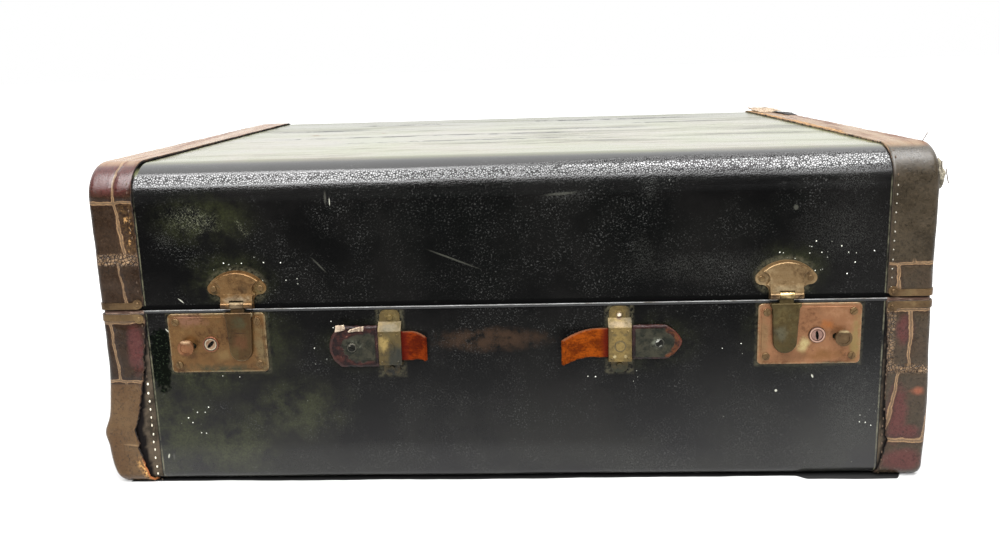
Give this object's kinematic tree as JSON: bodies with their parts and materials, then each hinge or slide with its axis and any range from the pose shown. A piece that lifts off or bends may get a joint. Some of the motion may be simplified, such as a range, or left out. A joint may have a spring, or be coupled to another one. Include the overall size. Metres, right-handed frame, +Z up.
{
  "type": "travel trunk",
  "caption": "Hard travel case lying flat: a black covered box with a hinged lid, leather-bound ends, a sliding catch and key lock under each hasp, and the torn ends of a handle in metal loops.",
  "frame": {"origin": "on the floor, under the middle of the whole object", "axes": "+X along the width, to the right seen from the locks; -Y is the front with the locks and the handle; +Z is up, with the case lying flat"},
  "size_m": [0.6128, 0.4408, 0.25],
  "materials": {
    "carcase_wood": "plain",
    "black_covering": "worn, grained, low sheen",
    "lining_cloth": "plain",
    "bright_edging": "satin",
    "dark_edging": "satin",
    "binding_leather": "embossed and worn",
    "clip_brass": "tarnished",
    "lock_brass": "tarnished",
    "loop_brass": "aged",
    "key_brass": "aged",
    "hinge_brass": "tarnished",
    "lock_steel": "dull",
    "handle_leather": "torn suede",
    "handle_plate": "worn",
    "handle_screw": "dull"
  },
  "bodies": {
    "base": {"base_binding_left": "binding_leather", "base_binding_right": "binding_leather", "base_carcase": "carcase_wood", "base_clip_nails": "clip_brass", "base_clips_left": "clip_brass", "base_clips_right": "clip_brass", "base_covering": "black_covering", "base_hinge_rivets": "hinge_brass", "base_lining": "lining_cloth", "base_rim": "bright_edging", "catch_spring_left": "lock_steel", "catch_spring_right": "lock_steel", "handle_loop_left": "loop_brass", "handle_loop_right": "loop_brass", "hinge_base_leaf_left": "hinge_brass", "hinge_base_leaf_right": "hinge_brass", "hinge_pin_left": "hinge_brass", "hinge_pin_right": "hinge_brass", "key_barrel_left": "key_brass", "key_barrel_right": "key_brass", "lock_case_left": "lock_steel", "lock_case_right": "lock_steel", "lock_plate_left": "lock_brass", "lock_plate_right": "lock_brass", "lock_screws": "lock_brass", "loop_rivets": "loop_brass"},
    "lid": {"lid_carcase": "carcase_wood", "lid_covering": "black_covering", "lid_lining": "lining_cloth", "lid_rim": "dark_edging", "lid_binding_left": "binding_leather", "lid_binding_right": "binding_leather", "lid_clips_left": "clip_brass", "lid_clips_right": "clip_brass", "lid_clip_nails": "clip_brass", "hasp_bracket_left": "lock_brass", "hasp_bracket_right": "lock_brass", "bracket_rivets": "lock_brass", "hasp_pin_left": "lock_steel", "hasp_pin_right": "lock_steel", "hinge_lid_leaf_left": "hinge_brass", "hinge_lid_leaf_right": "hinge_brass", "lid_hinge_rivets": "hinge_brass"},
    "hasp_left": {"hasp_left": "lock_brass", "staple_left": "lock_brass"},
    "catch_left": {"catch_bolt_left": "lock_steel", "catch_knob_left": "lock_brass"},
    "key_left": {"key_plug_left": "key_brass"},
    "handle_left": {"handle_stub_left": "handle_leather", "handle_plate_left": "handle_plate", "handle_screw_left": "handle_screw"},
    "hasp_right": {"hasp_right": "lock_brass", "staple_right": "lock_brass"},
    "catch_right": {"catch_bolt_right": "lock_steel", "catch_knob_right": "lock_brass"},
    "key_right": {"key_plug_right": "key_brass"},
    "handle_right": {"handle_stub_right": "handle_leather", "handle_plate_right": "handle_plate", "handle_screw_right": "handle_screw"}
  },
  "joints": [
    {"name": "lid_hinge", "type": "hinge", "parent": "base", "child": "lid", "pos_m": [0, 0.21318, 0.1406], "axis": [-1, 0, 0], "range_deg": [0, 100]},
    {"name": "hasp_left_hinge", "type": "hinge", "parent": "lid", "child": "hasp_left", "pos_m": [-0.2002, -0.21032, 0.1438], "axis": [-1, 0, 0], "range_deg": [0, 140]},
    {"name": "catch_left_slide", "type": "slide", "parent": "base", "child": "catch_left", "axis": [1, 0, 0], "range_m": [0, 0.004], "stiffness_N_per_m": 400, "springref_m": -0.004, "deforming": ["catch_spring_left"]},
    {"name": "key_left_turn", "type": "hinge", "parent": "base", "child": "key_left", "pos_m": [-0.2235, -0.20672, 0.1133], "axis": [0, 1, 0], "range_deg": [0, 90]},
    {"name": "handle_left_slide", "type": "slide", "parent": "base", "child": "handle_left", "axis": [-1, 0, 0], "range_m": [0, 0.008]},
    {"name": "hasp_right_hinge", "type": "hinge", "parent": "lid", "child": "hasp_right", "pos_m": [0.2002, -0.21032, 0.1438], "axis": [-1, 0, 0], "range_deg": [0, 140]},
    {"name": "catch_right_slide", "type": "slide", "parent": "base", "child": "catch_right", "axis": [-1, 0, 0], "range_m": [0, 0.004], "stiffness_N_per_m": 400, "springref_m": -0.004, "deforming": ["catch_spring_right"]},
    {"name": "key_right_turn", "type": "hinge", "parent": "base", "child": "key_right", "pos_m": [0.2235, -0.20672, 0.1133], "axis": [0, 1, 0], "range_deg": [0, 90]},
    {"name": "handle_right_slide", "type": "slide", "parent": "base", "child": "handle_right", "axis": [1, 0, 0], "range_m": [0, 0.008]}
  ]
}
